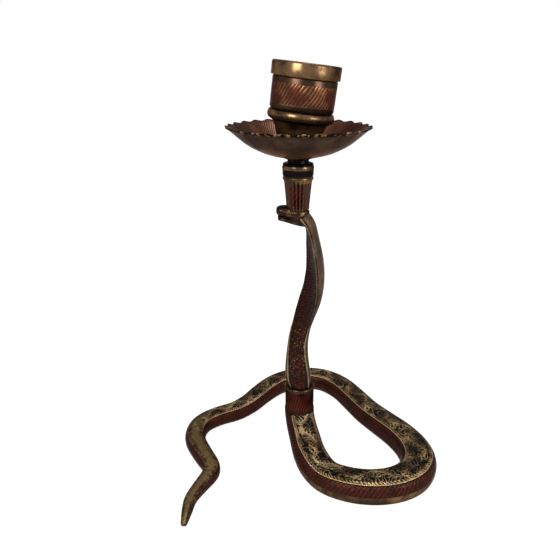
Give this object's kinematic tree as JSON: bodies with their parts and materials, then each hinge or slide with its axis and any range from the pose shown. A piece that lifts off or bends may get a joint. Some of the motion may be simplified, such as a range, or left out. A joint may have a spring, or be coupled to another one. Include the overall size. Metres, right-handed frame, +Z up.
{
  "type": "cobra candle holder",
  "caption": "Brass candle holder shaped as a raised cobra: looped body as the stand, twisted hood as the stem, scalloped drip pan and leaning candle cup.",
  "frame": {"origin": "bottom centre of the bounding box, on the table", "axes": "+Z up along the stem, +X to the viewer's right, +Y away from the viewer"},
  "size_m": [0.11, 0.1168, 0.1674],
  "materials": {
    "body_enamel": "engraved brass with black and red enamel, worn",
    "hood_enamel": "engraved brass with red enamel and grey-brown patina",
    "ferrule_brass": "satin brass with red enamel",
    "post_enamel": "turned brass with black lacquer rings",
    "black_washer": "matt black",
    "pan_brass": "satin, mellow patina",
    "cup_brass": "satin brass with red enamelled grooves",
    "screw_steel": "dull"
  },
  "bodies": {
    "base": {"snake_body": "body_enamel", "neck_ferrule": "ferrule_brass"},
    "hood": {"cobra_hood": "hood_enamel", "hood_spigot": "ferrule_brass", "candle_post": "post_enamel", "pan_washer": "black_washer", "screw_washer": "ferrule_brass", "cup_screw": "screw_steel"},
    "pan": {"drip_pan": "pan_brass"},
    "cup": {"candle_cup": "cup_brass"}
  },
  "joints": [
    {"name": "hood_swivel", "type": "hinge", "parent": "base", "child": "hood", "pos_m": [-0.00302, -0.00825, 0.03], "axis": [0, 0, 1], "continuous": true},
    {"name": "pan_spin", "type": "hinge", "parent": "hood", "child": "pan", "pos_m": [-0.00452, -0.00825, 0.132], "axis": [0, 0, 1], "continuous": true},
    {"name": "cup_spin", "type": "hinge", "parent": "hood", "child": "cup", "pos_m": [-0.00452, -0.00825, 0.137], "axis": [0, 0, 1], "continuous": true}
  ]
}
